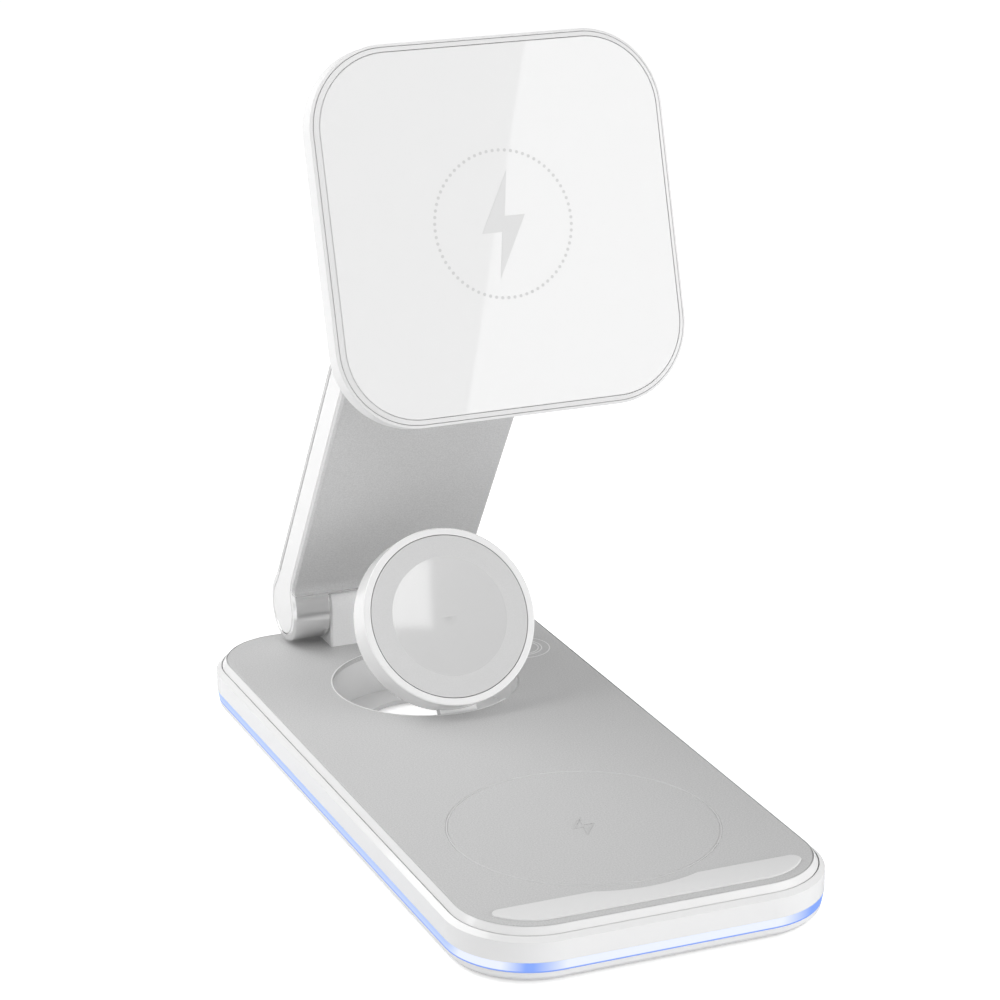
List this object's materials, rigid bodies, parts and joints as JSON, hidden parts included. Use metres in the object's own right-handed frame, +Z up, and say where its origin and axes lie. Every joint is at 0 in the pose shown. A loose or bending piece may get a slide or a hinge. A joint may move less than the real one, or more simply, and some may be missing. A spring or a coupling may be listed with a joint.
{
  "type": "three in one wireless charger",
  "caption": "Folding desk charger: flat base with a light strip and earbud place, a flip-up round watch puck, and a hinged arm with a tilting square phone pad.",
  "frame": {"origin": "middle of the base, on the surface that its feet stand on", "axes": "+X right, +Y to the rear where the arm is hinged, +Z up"},
  "size_m": [0.0744, 0.1568, 0.1508],
  "materials": {
    "satin_silver_plastic": "fine satin silver paint on plastic",
    "satin_silver_metal": "fine blasted and clear anodised",
    "white_gloss": "white, polished mould finish",
    "white_satin": "white, fine mould texture",
    "light_diffuser": "milky, lit blue from inside",
    "white_glass": "clear glass printed white on its back",
    "grey_face": "light grey, fine satin with a polished dish",
    "silicone": "soft matt silicone",
    "rubber": "matt grey rubber",
    "steel": "turned",
    "copper_wire": "wound copper wire",
    "ferrite": "dark pressed ferrite",
    "magnet": "nickel plated",
    "circuit_board": "green solder mask"
  },
  "bodies": {
    "base": {"top_plate": "satin_silver_plastic", "top_rim": "white_gloss", "base_frame": "white_gloss", "light_strip": "light_diffuser", "bottom_cover": "white_satin", "bumper_strip": "silicone", "rubber_feet": "rubber", "cover_screws": "steel", "earbud_coil": "copper_wire", "earbud_ferrite": "ferrite", "touch_sensor": "circuit_board", "light_board": "circuit_board", "main_board": "circuit_board", "power_socket": "steel", "socket_board": "circuit_board", "hinge_block": "satin_silver_metal", "arm_hinge_pin": "steel", "arm_hinge_washers": "steel", "hinge_screws": "steel", "watch_hinge_pin": "steel", "watch_hinge_clip": "steel"},
    "arm": {"arm_frame": "satin_silver_metal", "arm_cap_left": "white_gloss", "arm_cap_right": "white_gloss", "pad_hinge_pin": "steel"},
    "pad": {"pad_glass": "white_glass", "pad_rim": "white_gloss", "pad_shell": "white_satin", "pad_coil": "copper_wire", "pad_ferrite": "ferrite", "pad_magnets": "magnet", "pad_board": "circuit_board", "pad_hinge_block": "satin_silver_metal", "pad_hinge_screws": "steel", "pad_hinge_washers": "steel"},
    "puck": {"puck_shell": "white_gloss", "puck_face": "grey_face", "puck_coil": "copper_wire", "puck_magnet": "magnet", "puck_ferrite": "ferrite"}
  },
  "joints": [
    {"name": "arm_fold", "type": "hinge", "parent": "base", "child": "arm", "pos_m": [0, 0.0709, 0.019], "axis": [1, 0, 0], "range_deg": [-32, 14]},
    {"name": "pad_tilt", "type": "hinge", "parent": "arm", "child": "pad", "pos_m": [0, 0.01175, 0.11293], "axis": [1, 0, 0], "range_deg": [-130, 20]},
    {"name": "watch_flip", "type": "hinge", "parent": "base", "child": "puck", "pos_m": [0, 0.01615, 0.0081], "axis": [1, 0, 0], "range_deg": [-60, 0]}
  ]
}
